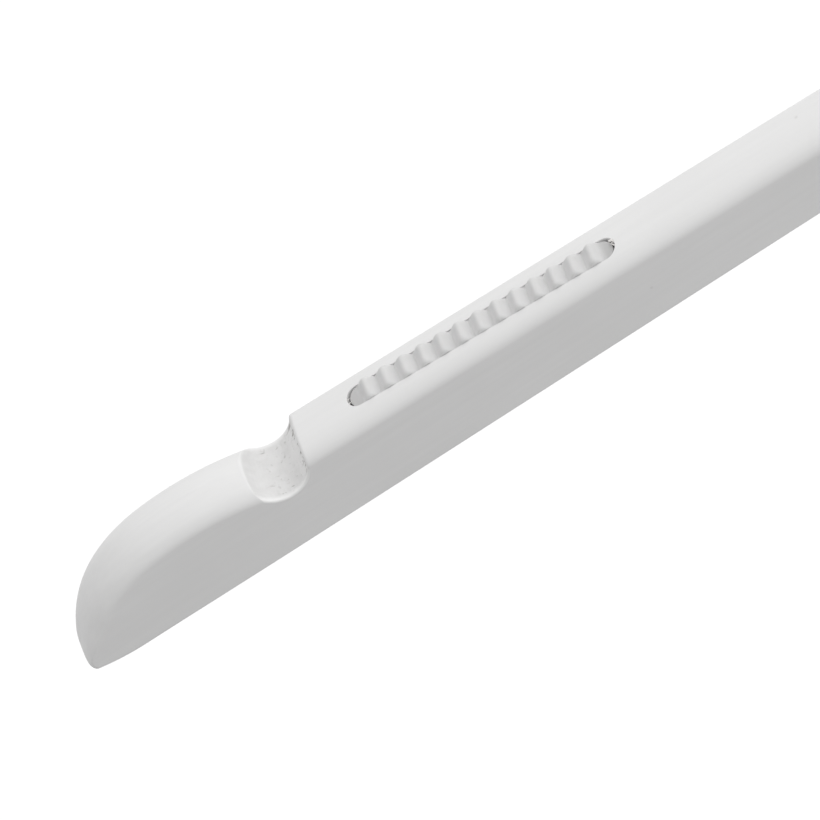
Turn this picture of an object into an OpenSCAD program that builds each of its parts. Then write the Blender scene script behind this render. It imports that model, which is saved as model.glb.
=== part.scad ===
// Flat wooden clothes hanger with anti-slip strips, strap notches and a swivel hook.
// X runs along the width, Y through the thickness with the front at -Y, and Z is up.
// The origin is the point inside the top of the hook that rests on the rail.

/* [Board] */
// Overall width from nose to nose
span = 445; // [400:1:480]
// Thickness of the board
board_t = 12; // [11:0.5:16]
// Slope of the straight bottom edges
arm_slope = 22.5; // [18:0.5:26]
// Height of the arm at the strap notch, square to the bottom edge
arm_h = 16.5; // [15:0.1:18]
// Angle at which the top edge closes on the bottom edge towards the centre
arm_taper = 1.6; // [0.5:0.05:1.8]
// Radius inside the bottom of the vee at the centre
apex_r = 30; // [15:1:60]

/* [Edges] */
// Drop of the nose's domed edge, from its crest to the board's faces
nose_drop = 2.7; // [1.5:0.1:3.2]
// Drop of the domed edge at the tip of the nose
tip_drop = 2.4; // [0.5:0.1:3]
// Drop of the arms' domed top edges
arm_drop = 2.4; // [1:0.1:3]
// How full the nose's dome is, from near 0 for a flat edge to 1 for an oval
nose_dome = 1; // [0.4:0.05:1]
// How full the dome of the arms' top edges is
arm_dome = 0.8; // [0.4:0.05:1]
// Rounding of the bottom edges
bottom_edge_r = 0.4; // [0.3:0.1:1.2]
// Rounding of the edges round the top of the neck
neck_edge_r = 1; // [0.5:0.1:1.2]

/* [Nose] */
// Height of the nose square to the bottom edge
nose_h = 17.6; // [16:0.1:19]
// Radius of the flat crown of the nose
nose_crown_r = 50; // [40:1:90]
// Radius of the falling front of the nose
nose_front_r = 26.7; // [22:0.1:32]
// Slope at which the crown blends into the falling front
nose_blend = 6; // [3:0.5:12]
// Radius of the lower corner of the nose
nose_corner_r = 0.9; // [0.5:0.1:2]
// Radius of the lift below the tip of the nose
toe_r = 35; // [25:1:60]
// Slope that the lift below the tip ends at
toe_slope = 15.4; // [8:0.2:22]

/* [Neck] */
// Width of the flat on top of the neck
neck_flat_w = 12; // [10:0.5:20]
// Radius of the shoulders of the neck
neck_shoulder_r = 8; // [4:0.5:14]
// Radius of the sweep from the arm up into the neck
neck_sweep_r = 85; // [60:1:120]
// Slope of the neck's sides where sweep and shoulder meet
neck_side_slope = 66; // [50:1:80]

/* [Strap notch] */
// Distance of the notch from the lift below the tip, along the arm
notch_place = 35; // [32:0.5:40]
// Radius of the notch
notch_r = 5; // [4:0.25:6]
// Height of the wood left under the notch
notch_floor_h = 10.8; // [8:0.2:12]

/* [Grip strip] */
// Distance of the middle of the slot from the lift below the tip, along the arm
slot_place = 75.4; // [71:0.2:102]
// Length of the slot
slot_l = 50; // [30:1:56]
// Width of the slot
slot_w = 4.4; // [3:0.1:5]
// Depth of the slot
slot_d = 4; // [3:0.25:6]
// Gap between strip and slot at each end
strip_end_gap = 0.5; // [0.2:0.1:1]
// Gap between strip and slot at each side
strip_side_gap = 0.05; // [0.02:0.01:0.1]
// Distance from rib to rib
rib_pitch = 3.5; // [2.5:0.25:5]
// Height of a rib from valley to crest
rib_h = 1.7; // [0.8:0.1:2.2]
// Height of the crests above the wood
rib_rise = 1; // [0.4:0.1:1.5]
// Shortest plain land at each end of the strip
strip_land = 1.5; // [1:0.25:4]

/* [Hook] */
// Diameter of the hook's wire
wire_d = 3.5; // [3:0.1:4.5]
// Radius inside the hook
hook_inside_r = 19.5; // [17:0.5:24]
// Radius of the bend between stem and hook, on the wire's centre line
stem_bend_r = 15; // [10:0.5:20]
// Height of the rail above the top of the neck
hook_rise = 95; // [85:1:110]
// Angle at which the hook's free end stops, counted from +X over the top
hook_end_angle = 200; // [180:1:220]

/* [Swivel] */
// Running clearance between stem and ferrule, on the radius
run_gap = 0.05; // [0.02:0.01:0.1]
// Fit between pieces that are pressed or glued together, on the radius
press_gap = 0.02; // [0.01:0.01:0.05]
// Free play of the hook along its axis, at each end
end_play = 0.3; // [0.2:0.05:0.5]
// Wall of the ferrule's sleeve
ferrule_wall = 1; // [0.6:0.1:1.4]
// Width of the ferrule's flange beyond the sleeve
flange_reach = 1.6; // [1:0.1:1.8]
// Thickness of the ferrule's flange
flange_t = 1.2; // [0.8:0.1:2]
// Wall of the collar on the stem
collar_wall = 1.8; // [1.2:0.1:2.4]
// Height of the collar
collar_h = 4; // [3:0.25:6]
// Thickness of the washer
washer_t = 0.6; // [0.4:0.1:1]
// Width of the washer beyond the ferrule's sleeve
washer_reach = 1.1; // [0.8:0.1:1.4]
// Width of the nut across its flats, beyond the wire
nut_reach = 2.5; // [2:0.1:3]
// Height of the nut
nut_h = 2.8; // [2:0.1:3.5]
// Length of the stem that stands out below the nut
stem_end = 0.8; // [0.4:0.1:1.5]
// Depth to which the stem's end is sunk above the bottom of the vee
stem_sink = 1; // [0.5:0.1:3]
// Gap round the washer in the counterbore, on the radius
counterbore_gap = 0.2; // [0.1:0.05:0.4]

/* [Finger joint] */
// Number of fingers over the height of the centre
finger_count = 9; // [5:2:13]
// Length of a finger
finger_l = 18; // [12:1:24]
// Half of the difference between a finger's root and its tip
finger_taper = 0.35; // [0.1:0.05:0.6]

/* [Hidden] */
$fn = 48;
wood_color = "whitesmoke";
strip_color = "gainsboro";
steel_color = "silver";

// Steps of each round stretch of the board's outline
toe_steps = 4;
corner_steps = 5;
front_steps = 9;
crown_steps = 5;
sweep_steps = 9;
shoulder_steps = 5;
apex_steps = 3;
// Last of the rings that run from the board's front face over its edge to the back face
ring_last = 10;
// Steps of one rib's wave
rib_steps = 10;
// Sides of the bent wire, and the steps of its bend, its loop and its round tip
wire_sides = 16;
bend_steps = 9;
loop_steps = 40;
tip_steps = 4;
// How far the flats of the bent wire stand outside the round stem
bent_wire_skin = 0.01;
// How far a cut reaches past the surface that it opens
cut_past = 20;

// The arm's own frame: u runs up along the bottom edge from the end of the lift below the nose's tip,
// and v is square to it
function turn(p, angle) = [p.x * cos(angle) - p.y * sin(angle), p.x * sin(angle) + p.y * cos(angle)];
function lean(angle) = [-sin(angle), cos(angle)];
function lean_of(p) = atan2(-p.x, p.y);

// The nose, seen from the front: lift, lower corner, falling front and crown touch each other in turn
toe_centre = [0, toe_r];
corner_centre = toe_centre + (toe_r - nose_corner_r) * lean(180 - toe_slope);
nose_tip_angle = acos((nose_front_r * cos(nose_blend) + nose_crown_r * (1 - cos(nose_blend))
                       + corner_centre.y - nose_h) / (nose_front_r - nose_corner_r));
front_centre = corner_centre - (nose_front_r - nose_corner_r) * lean(nose_tip_angle);
crown_centre = front_centre - (nose_crown_r - nose_front_r) * lean(nose_blend);

// The foot puts the tip's outermost point at half of the span
tip_on_front = nose_tip_angle > 90 - arm_slope;
tip_centre = tip_on_front ? front_centre : corner_centre;
tip_r = tip_on_front ? nose_front_r : nose_corner_r;
foot_x = tip_r - span / 2 - turn(tip_centre, arm_slope).x;
foot = [foot_x, foot_x * tan(arm_slope)];
function place(p) = foot + turn(p, arm_slope);

// The straight top edge falls towards the centre at the taper's angle
function top_edge_at(u) = [u, arm_h - (u - notch_place) * tan(arm_taper)];
top_slope = arm_slope - arm_taper;

// The outline steps from crown to top edge inside the notch
step_half = 0.6 * notch_r;
crown_end = asin((crown_centre.x - notch_place + step_half) / nose_crown_r);
notch_centre = [notch_place, notch_floor_h + notch_r];

// The sweep touches the top edge, which settles how high the neck is above the vee's sharp corner
sweep_start_x = -neck_flat_w / 2 - (neck_shoulder_r + neck_sweep_r) * sin(neck_side_slope)
                + neck_sweep_r * sin(top_slope);
top_point = place(top_edge_at(notch_place));
sweep_start_z = top_point.y + (sweep_start_x - top_point.x) * tan(top_slope);
sweep_centre = [sweep_start_x, sweep_start_z] + neck_sweep_r * lean(top_slope);
shoulder_centre = sweep_centre - (neck_shoulder_r + neck_sweep_r) * lean(neck_side_slope);
neck_h = shoulder_centre.y + neck_shoulder_r;
apex_centre = [0, -apex_r / cos(arm_slope)];
apex_h = apex_centre.y + apex_r;
centre_h = neck_h - apex_h;

// Heights in the part's frame
neck_z = -hook_rise;
board_z = neck_z - neck_h;
apex_z = board_z + apex_h;
flange_top = neck_z + flange_t;
stem_z = apex_z + stem_sink;
nut_z = stem_z + stem_end;
washer_z = nut_z + nut_h + end_play;
counterbore_z = washer_z + washer_t;

// Diameters round the stem
ferrule_bore_d = wire_d + 2 * run_gap;
sleeve_d = ferrule_bore_d + 2 * ferrule_wall;
flange_d = sleeve_d + 2 * flange_reach;
board_bore_d = sleeve_d + 2 * press_gap;
collar_d = wire_d + 2 * collar_wall;
washer_d = sleeve_d + 2 * washer_reach;
counterbore_d = washer_d + 2 * counterbore_gap;
nut_w = wire_d + nut_reach;

// Hook path in the plane of the board
hook_path_r = hook_inside_r + wire_d / 2;
hook_centre_z = -hook_inside_r;
bend_z = hook_centre_z - sqrt(hook_path_r * hook_path_r + 2 * hook_path_r * stem_bend_r);
bend_angle = acos(stem_bend_r / (hook_path_r + stem_bend_r));

// Stations of the bent wire: a point, the heading there and the wire's radius
bent_wire_r = wire_d / 2 / cos(180 / wire_sides) + bent_wire_skin;
function along(angle) = [cos(angle), sin(angle)];
stem_stations = [[[0, bend_z - wire_d], 90, bent_wire_r]];
bend_stations = [for (i = [0:bend_steps])
    let (angle = 180 - bend_angle * i / bend_steps)
    [[stem_bend_r, bend_z] + stem_bend_r * along(angle), angle - 90, bent_wire_r]];
loop_stations = [for (i = [1:loop_steps])
    let (angle = (hook_end_angle + bend_angle) * i / loop_steps - bend_angle)
    [[0, hook_centre_z] + hook_path_r * along(angle), angle + 90, bent_wire_r]];
loop_end = loop_stations[loop_steps - 1];
tip_stations = [for (i = [1:tip_steps - 1])
    let (angle = 90 * i / tip_steps)
    [loop_end[0] + bent_wire_r * sin(angle) * along(loop_end[1]), loop_end[1], bent_wire_r * cos(angle)]];
wire_stations = concat(stem_stations, bend_stations, loop_stations, tip_stations);
wire_count = len(wire_stations);
tip_point = loop_end[0] + bent_wire_r * along(loop_end[1]);
wire_points = concat(
    [for (s = wire_stations) for (k = [0:wire_sides - 1])
        let (angle = 360 * (k + 0.5) / wire_sides, side = s[0] + s[2] * cos(angle) * lean(s[1]))
        [side.x, -s[2] * sin(angle), side.y]],
    [[tip_point.x, 0, tip_point.y]]);
wire_start = [[for (k = [0:wire_sides - 1]) k]];
wire_faces = [for (i = [0:wire_count - 2]) for (k = [0:wire_sides - 1])
    let (here = i * wire_sides, next = (k + 1) % wire_sides)
    for (face = [[here + k, here + wire_sides + k, here + wire_sides + next],
                 [here + k, here + wire_sides + next, here + next]])
    face];
wire_tip = [for (k = [0:wire_sides - 1])
    let (here = (wire_count - 1) * wire_sides, next = (k + 1) % wire_sides)
    [here + k, here + wire_sides, here + next]];

// Strip sizes
strip_l = slot_l - 2 * strip_end_gap;
strip_w = slot_w - 2 * strip_side_gap;
rib_count = floor((strip_l - 2 * strip_land) / rib_pitch);
ribbed_l = rib_count * rib_pitch;
valley_z = rib_rise - rib_h;

// An edge is a drop and a dome: a ring lies inside the outline by its inset, at its own depth
function round_edge(r) = [r, 1.7 * r / board_t];
nose_edge = [nose_drop, nose_dome];
tip_edge = [tip_drop, nose_dome];
arm_edge = [arm_drop, arm_dome];
bottom_edge = round_edge(bottom_edge_r);
neck_edge = round_edge(neck_edge_r);
function ring_turn(ring) = 180 * ring / ring_last - 90;
function ring_inset(ring, edge) = edge[0] * (1 - cos(ring_turn(ring)));
function ring_depth(ring, edge) =
    let (depth = sin(ring_turn(ring)))
    board_t / 2 * sign(depth) * pow(abs(depth), edge[1]);

// Points of a round stretch at one ring, where r is negative for a hollow one
function ease(t) = t * t * (3 - 2 * t);
function round_stretch(ring, centre, r, from, to, edge_from, edge_to, steps, first = 1) =
    [for (i = [first:steps])
        let (edge = edge_from + (edge_to - edge_from) * ease(i / steps))
        let (point = centre + (r - ring_inset(ring, edge)) * lean(from + (to - from) * i / steps))
        [point.x, point.y, ring_depth(ring, edge)]];
function on_arm(list) =
    [for (p = list) let (point = place([p.x, p.y])) [point.x, point.y, p.z]];

// Where two circles meet, on the left of the way from the first centre to the second
function meeting(first, first_r, second, second_r) =
    let (way = second - first, far = norm(way))
    let (forth = (first_r * first_r - second_r * second_r + far * far) / (2 * far))
    first + (forth * way + sqrt(first_r * first_r - forth * forth) * [-way.y, way.x]) / far;

// The nose at one ring, whose lower corner is rounded anew between the ring's own lift and front
function nose_ring(ring) =
    let (inner_toe_r = toe_r - ring_inset(ring, bottom_edge) - nose_corner_r)
    let (inner_front_r = nose_front_r - ring_inset(ring, tip_edge) - nose_corner_r)
    let (corner = meeting(front_centre, inner_front_r, toe_centre, inner_toe_r))
    let (toe_end = lean_of(corner - toe_centre), front_start = lean_of(corner - front_centre))
    concat(
        round_stretch(ring, toe_centre, toe_r, 180, toe_end, bottom_edge, bottom_edge, toe_steps, 0),
        [for (i = [1:corner_steps])
            let (edge = bottom_edge + (tip_edge - bottom_edge) * ease(i / corner_steps))
            let (angle = toe_end + (front_start - toe_end) * i / corner_steps)
            let (point = corner + nose_corner_r * lean(angle))
            [point.x, point.y, ring_depth(ring, edge)]],
        round_stretch(ring, front_centre, nose_front_r, front_start, nose_blend,
                      tip_edge, nose_edge, front_steps),
        round_stretch(ring, crown_centre, nose_crown_r, nose_blend, crown_end,
                      nose_edge, nose_edge, crown_steps));

// The straight edges of the arm at one ring, below the notch and after it
function under_ring(ring) =
    [for (u = [notch_place + step_half, notch_place - step_half])
        [u, ring_inset(ring, bottom_edge), ring_depth(ring, bottom_edge)]];
function top_ring(ring) =
    let (point = top_edge_at(notch_place + step_half) - ring_inset(ring, arm_edge) * lean(-arm_taper))
    [[point.x, point.y, ring_depth(ring, arm_edge)]];

// Left half of one ring, from the bottom of the vee round the nose to the top of the neck
function half_ring(ring) = concat(
    round_stretch(ring, apex_centre, -apex_r, 180, 180 + arm_slope,
                  bottom_edge, bottom_edge, apex_steps, 0),
    on_arm(concat(under_ring(ring), nose_ring(ring), top_ring(ring))),
    round_stretch(ring, sweep_centre, -neck_sweep_r, top_slope, neck_side_slope,
                  arm_edge, neck_edge, sweep_steps, 0),
    round_stretch(ring, shoulder_centre, neck_shoulder_r, neck_side_slope, 0,
                  neck_edge, neck_edge, shoulder_steps));
half_count = len(half_ring(0));
outline_count = 2 * half_count - 1;
board_points = [for (ring = [0:ring_last])
    let (half = half_ring(ring))
    let (mirrored = [for (i = [half_count - 1:-1:1]) [-half[i].x, half[i].y, half[i].z]])
    for (p = concat(half, mirrored))
    [p.x, p.z, board_z + p.y]];

// Plain cells that make up the flat faces: nose, notch, arm, the fan below the neck and the fan over the vee
apex_last = apex_steps;
under_last = apex_last + 2;
crown_last = under_last + 1 + toe_steps + corner_steps + front_steps + crown_steps;
sweep_first = crown_last + 2;
neck_last = half_count - 1;
left_cells = concat(
    [[for (i = [under_last:crown_last]) i],
     [apex_last + 1, under_last, crown_last, crown_last + 1],
     [apex_last, apex_last + 1, crown_last + 1, sweep_first]],
    [for (i = [sweep_first:neck_last - 1]) [apex_last, i, i + 1]],
    [for (i = [0:apex_last - 1]) [i, i + 1, neck_last]]);
function backwards(list) = [for (i = [len(list) - 1:-1:0]) list[i]];
right_cells = [for (cell = left_cells)
    backwards([for (i = cell) i == 0 ? 0 : outline_count - i])];
front_faces = concat(left_cells, right_cells, [[0, neck_last, neck_last + 1]]);
back_faces = [for (cell = front_faces)
    backwards([for (i = cell) ring_last * outline_count + i])];
edge_faces = [for (ring = [0:ring_last - 1]) for (i = [0:outline_count - 1])
    let (here = ring * outline_count, next = (i + 1) % outline_count)
    for (face = [[here + i, here + outline_count + i, here + outline_count + next],
                 [here + i, here + outline_count + next, here + next]])
    face];

// The whole board before the arms are parted and the cuts are made
module board() {
    polyhedron(board_points, concat(edge_faces, front_faces, back_faces));
}

// Everything on one arm's side of the finger joint, where side is -1 for the left arm and 1 for the right
module joint_side(side) {
    finger_h = centre_h / finger_count;
    low_z = board_z + foot.y - cut_past;
    high_z = neck_z + cut_past;
    joint = [for (i = [0:finger_count - 1])
        let (x = (i % 2 == 0 ? 1 : -1) * finger_l / 2)
        let (from = i == 0 ? low_z : apex_z + i * finger_h + finger_taper)
        let (to = i == finger_count - 1 ? high_z : apex_z + (i + 1) * finger_h - finger_taper)
        for (z = [from, to])
        [x, z]];
    rotate([90, 0, 0])
        linear_extrude(board_t + 2 * cut_past, center = true)
            polygon(concat([[side * span, low_z]], joint, [[side * span, high_z]]));
}

// Flat shape with straight sides and round ends
module stadium(length, width) {
    square([length - width, width], center = true);
    for (side = [-1, 1])
        translate([side * (length - width) / 2, 0])
            circle(d = width);
}

// Puts its children on the left arm's top edge at the middle of the slot, with Z out of the wood
module at_slot() {
    point = place(top_edge_at(slot_place));
    translate([point.x, 0, board_z + point.y])
        rotate([0, -top_slope, 0])
            children();
}

// Round-bottomed notch across the left arm for a garment's strap
module notch_cut() {
    point = place(notch_centre);
    translate([point.x, 0, board_z + point.y])
        rotate([90, -arm_slope, 0])
            linear_extrude(board_t + 2 * cut_past, center = true) {
                circle(notch_r);
                translate([-notch_r, 0])
                    square([2 * notch_r, cut_past]);
            }
}

// Routed slot for the left grip strip
module slot_cut() {
    at_slot()
        translate([0, 0, -slot_d])
            linear_extrude(slot_d + cut_past)
                stadium(slot_l, slot_w);
}

// Bore for the ferrule with the counterbore for washer and nut below it
module stem_cut() {
    translate([0, 0, apex_z - cut_past])
        cylinder(d = board_bore_d, h = centre_h + 2 * cut_past);
    translate([0, 0, apex_z - cut_past])
        cylinder(d = counterbore_d, h = counterbore_z - apex_z + cut_past);
}

module left_arm() {
    color(wood_color)
        difference() {
            intersection() {
                board();
                joint_side(-1);
            }
            notch_cut();
            slot_cut();
            stem_cut();
        }
}

module right_arm() {
    color(wood_color)
        difference() {
            intersection() {
                board();
                joint_side(1);
            }
            mirror([1, 0, 0]) {
                notch_cut();
                slot_cut();
            }
            stem_cut();
        }
}

// Ribbed strip lying in the left arm's slot, its wave drawn along the slot
module grip_strip() {
    wave_steps = rib_count * rib_steps;
    wave = [for (i = [0:wave_steps])
        [ribbed_l * (i / wave_steps - 0.5), rib_rise - rib_h * (1 + cos(360 * i / rib_steps)) / 2]];
    ends = [[strip_l / 2, valley_z], [strip_l / 2, -slot_d],
            [-strip_l / 2, -slot_d], [-strip_l / 2, valley_z]];
    at_slot()
        intersection() {
            rotate([90, 0, 0])
                linear_extrude(strip_w, center = true)
                    polygon(concat(wave, ends));
            translate([0, 0, -slot_d])
                linear_extrude(slot_d + cut_past)
                    stadium(strip_l, strip_w);
        }
}

module left_grip_strip() {
    color(strip_color)
        grip_strip();
}

module right_grip_strip() {
    color(strip_color)
        mirror([1, 0, 0])
            grip_strip();
}

// Stem as a true cylinder, with the bent wire swept on from its top
module hook() {
    color(steel_color) {
        translate([0, 0, stem_z])
            cylinder(d = wire_d, h = bend_z - stem_z);
        polyhedron(wire_points, concat(wire_start, wire_faces, wire_tip));
    }
}

// Turned ring with bevelled rims, crimped on the stem
module hook_collar() {
    bevel = collar_wall / 3;
    inner_r = wire_d / 2 + press_gap;
    outer_r = collar_d / 2;
    color(steel_color)
        translate([0, 0, flange_top + end_play])
            rotate_extrude()
                polygon([[inner_r, 0], [outer_r - bevel, 0], [outer_r, bevel], [outer_r, collar_h - 2 * bevel],
                         [outer_r - 2 * bevel, collar_h], [inner_r, collar_h]]);
}

// Flanged sleeve pressed into the neck
module neck_ferrule() {
    bevel = flange_t / 3;
    inner_r = ferrule_bore_d / 2;
    color(steel_color)
        rotate_extrude()
            polygon([[inner_r, counterbore_z], [sleeve_d / 2, counterbore_z], [sleeve_d / 2, neck_z],
                     [flange_d / 2, neck_z], [flange_d / 2, flange_top - bevel],
                     [flange_d / 2 - bevel, flange_top], [inner_r, flange_top]]);
}

module hook_washer() {
    color(steel_color)
        translate([0, 0, washer_z])
            difference() {
                cylinder(d = washer_d, h = washer_t);
                translate([0, 0, -washer_t])
                    cylinder(d = ferrule_bore_d, h = 3 * washer_t);
            }
}

module lock_nut() {
    color(steel_color)
        translate([0, 0, nut_z])
            difference() {
                cylinder(d = nut_w / cos(30), h = nut_h, $fn = 6);
                translate([0, 0, -nut_h])
                    cylinder(d = wire_d + 2 * press_gap, h = 3 * nut_h);
            }
}

left_arm();
right_arm();
left_grip_strip();
right_grip_strip();
hook();
hook_collar();
neck_ferrule();
hook_washer();
lock_nut();
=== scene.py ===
import math

import bmesh
import bpy
from mathutils import Matrix, Vector, noise


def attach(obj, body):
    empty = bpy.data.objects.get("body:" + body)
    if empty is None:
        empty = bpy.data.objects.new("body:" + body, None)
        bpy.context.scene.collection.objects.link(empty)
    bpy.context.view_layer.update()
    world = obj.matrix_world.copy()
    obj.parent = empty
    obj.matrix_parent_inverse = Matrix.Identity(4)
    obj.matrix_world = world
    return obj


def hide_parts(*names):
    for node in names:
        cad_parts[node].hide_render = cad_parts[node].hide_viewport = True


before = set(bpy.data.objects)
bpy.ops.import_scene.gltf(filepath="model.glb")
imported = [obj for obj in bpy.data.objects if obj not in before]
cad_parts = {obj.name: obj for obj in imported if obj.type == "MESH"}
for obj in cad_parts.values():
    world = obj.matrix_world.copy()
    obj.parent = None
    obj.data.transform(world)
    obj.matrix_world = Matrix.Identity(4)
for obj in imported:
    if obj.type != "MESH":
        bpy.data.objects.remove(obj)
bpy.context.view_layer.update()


# The arms are one flat board of beech, sawn to the hanger's outline, with edges rounded by a cutter
# and with routed strap notches and strip slots. The board is cut through at the middle, glued
# together again in a finger joint and sprayed white.
span = 0.445
board_thick = 0.012
board_half = board_thick / 2
arm_slope = math.radians(22.5)
arm_taper = math.radians(1.6)
arm_height = 0.0165
vee_radius = 0.030
rail_to_neck = 0.095

nose_height = 0.0176
crown_radius = 0.050
front_radius = 0.0267
nose_blend = math.radians(6)
corner_radius = 0.0007
toe_radius = 0.035
toe_slope = math.radians(15.4)

neck_flat = 0.012
shoulder_radius = 0.008
sweep_radius = 0.085
neck_slope = math.radians(66)

# An edge has a drop, from its crest to the board's faces, and a dome, from 0 for flat to 1 for an oval.
nose_edge = Vector((0.0027, 1.0))
tip_edge = Vector((0.0022, 0.88))
corner_edge = Vector((0.0008, 0.5))
toe_edge = Vector((0.0007, 0.1))
arm_edge = Vector((0.0024, 0.8))
bottom_edge = Vector((0.0004, 0.057))
neck_edge = Vector((0.001, 0.142))
corner_share = 0.3
corner_round = 0.0011
toe_blend_long = 0.030

notch_place = 0.035
notch_radius = 0.005
notch_floor = 0.0109
notch_tilt = 0.05
notch_skew = 0.04
notch_rim = 0.00035
notch_nose_lip = 0.0005
notch_lip_growth = 0.07
notch_arm_lip = 0.0007
crown_to_notch = 1.3 * notch_radius
notch_to_top = 1.5 * notch_radius

slot_place = 0.0754
slot_long = 0.050
slot_wide = 0.0042
slot_deep = 0.004
slot_lip = 0.00015
slot_skew = math.radians(1.15)
slot_shift = 0.0005

finger_count = 9
finger_long = 0.018
finger_taper = 0.00035
glue_line = 0.00003


def leaning(angle):
    """Direction out of an edge whose slope is that angle."""
    return Vector((-math.sin(angle), math.cos(angle)))


def lean_of(vector):
    return math.atan2(-vector.x, vector.y)


def turned(point, angle):
    """A point of the board's plane turned about the plane's origin."""
    return Matrix.Rotation(angle, 2) @ point


def direction(angle):
    return Vector((math.cos(angle), math.sin(angle)))


def heading(vector):
    return math.atan2(vector.y, vector.x)


# The nose: a lift below the tip, a small corner, a falling front and a flat crown, each touching the next.
# The arm's own frame starts where the lift begins, with X up along the bottom edge.
toe_centre = Vector((0, toe_radius))
corner_centre = toe_centre + (toe_radius - corner_radius) * leaning(math.pi - toe_slope)
tip_angle = math.acos((front_radius * math.cos(nose_blend) + crown_radius * (1 - math.cos(nose_blend))
                       + corner_centre.y - nose_height) / (front_radius - corner_radius))
front_centre = corner_centre - (front_radius - corner_radius) * leaning(tip_angle)
crown_centre = front_centre - (crown_radius - front_radius) * leaning(nose_blend)
foot_x = corner_radius - span / 2 - turned(corner_centre, arm_slope).x
foot = Vector((foot_x, foot_x * math.tan(arm_slope)))


def on_board(point):
    """A point of the left arm's own frame in the plane of the board."""
    return foot + turned(point, arm_slope)


# The top edge is straight from the notch to the sweep that rises into the neck.
top_slope = arm_slope - arm_taper


def top_edge(along):
    return Vector((along, arm_height - (along - notch_place) * math.tan(arm_taper)))


sweep_x = (-neck_flat / 2 - (shoulder_radius + sweep_radius) * math.sin(neck_slope)
           + sweep_radius * math.sin(top_slope))
top_point = on_board(top_edge(notch_place))
sweep_start = Vector((sweep_x, top_point.y + (sweep_x - top_point.x) * math.tan(top_slope)))
sweep_centre = sweep_start + sweep_radius * leaning(top_slope)
shoulder_centre = sweep_centre - (shoulder_radius + sweep_radius) * leaning(neck_slope)
neck_height = shoulder_centre.y + shoulder_radius
vee_centre = Vector((0, -vee_radius / math.cos(arm_slope)))
vee_height = vee_centre.y + vee_radius
neck_z = -rail_to_neck
board_z = neck_z - neck_height
vee_z = board_z + vee_height

# Rings run from the front face over the crest of the edge to the back face.
last_ring = 44


def ring_place(ring, edge):
    """How far a ring lies inside the outline, and how far before the middle plane of the board."""
    drop, dome = edge
    turn = math.pi * (0.5 - ring / last_ring)
    before = board_half * math.copysign(abs(math.sin(turn)) ** dome, turn)
    return drop * (1 - math.cos(turn)), before


def eased(share):
    return share * share * (3 - 2 * share)


def round_stretch(ring, centre, radius, start, end, edge_start, edge_end, steps, first=1):
    """Points of a round stretch at one ring, with their places before the middle plane.

    A hollow stretch has a negative radius.
    """
    stretch = []
    for step in range(first, steps + 1):
        share = step / steps
        inset, before = ring_place(ring, edge_start.lerp(edge_end, eased(share)))
        stretch.append((centre + (radius - inset) * leaning(start + (end - start) * share), before))
    return stretch


def meeting(first, first_reach, second, second_reach):
    """Where two circles meet, on the left of the way from the first centre to the second."""
    way = second - first
    forth = (first_reach ** 2 - second_reach ** 2 + way.length_squared) / (2 * way.length)
    aside = math.sqrt(first_reach ** 2 - forth ** 2)
    return first + (forth * way + aside * Vector((-way.y, way.x))) / way.length


blend_steps = 10
toe_steps = 12
corner_steps = 14
tip_steps = 14
front_steps = 26
crown_steps = 16


def nose_path(ring):
    """The nose at one ring, with its lower corner rounded anew between the ring's own lift and front."""
    # The front face was sanded less than the back and keeps a squarer corner.
    own_corner = corner_edge if 2 * ring < last_ring else tip_edge
    path = []
    for step in range(blend_steps):
        share = step / blend_steps
        inset, before = ring_place(ring, bottom_edge.lerp(toe_edge, eased(share)))
        path.append((Vector((toe_blend_long * (1 - share), inset)), before))
    toe_reach = toe_radius - ring_place(ring, toe_edge)[0] - corner_round
    front_reach = front_radius - ring_place(ring, own_corner)[0] - corner_round
    corner = meeting(front_centre, front_reach, toe_centre, toe_reach)
    toe_end = lean_of(corner - toe_centre)
    front_start = lean_of(corner - front_centre)
    path += round_stretch(ring, toe_centre, toe_radius, math.pi, toe_end, toe_edge, toe_edge, toe_steps, 0)
    for step in range(1, corner_steps + 1):
        share = step / corner_steps
        before = ring_place(ring, toe_edge.lerp(own_corner, eased(share)))[1]
        path.append((corner + corner_round * leaning(toe_end + (front_start - toe_end) * share), before))
    front_middle = front_start + (nose_blend - front_start) * corner_share
    path += round_stretch(ring, front_centre, front_radius, front_start, front_middle,
                          own_corner, tip_edge, tip_steps)
    path += round_stretch(ring, front_centre, front_radius, front_middle, nose_blend,
                          tip_edge, nose_edge, front_steps)
    crown_end = math.asin((crown_centre.x - notch_place + crown_to_notch) / crown_radius)
    path += round_stretch(ring, crown_centre, crown_radius, nose_blend, crown_end,
                          nose_edge, nose_edge, crown_steps)
    return path


def arc(centre, radius, start, end, steps):
    return [centre + radius * direction(start + (end - start) * step / steps) for step in range(steps + 1)]


def notch_middle(before):
    """The centre of the notch's round, which was routed a little askew and deeper at the front face."""
    back = board_half - before
    return Vector((notch_place + notch_skew * back, notch_floor + notch_radius + notch_tilt * back))


def notch_size(before):
    """The notch's radius, which flares a little where it opens into the front and back faces."""
    near_face = min(1, max(0, 1 - (board_half - abs(before)) / notch_rim))
    return notch_radius + notch_rim * (1 - math.sqrt(1 - near_face ** 2))


# The floor of the notch is rough end grain: clumps in layers, each finer than the last, and streaks.
grain_high = 0.00007
clumps_per_mm = 1.6
clump_layers = 4
clump_fineness = 2.1
clump_fading = 0.8
streaks_per_mm = Vector((4, 1, 0.5))


def end_grain(point, before):
    """How far the torn fibres stand out at a point of the notch's floor."""
    place_in_mm = 1000 * Vector((point.x, point.y, before))
    clumps = noise.fractal(clumps_per_mm * place_in_mm, clump_fading, clump_fineness, clump_layers)
    return grain_high * (clumps + noise.noise(streaks_per_mm * place_in_mm))


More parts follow.
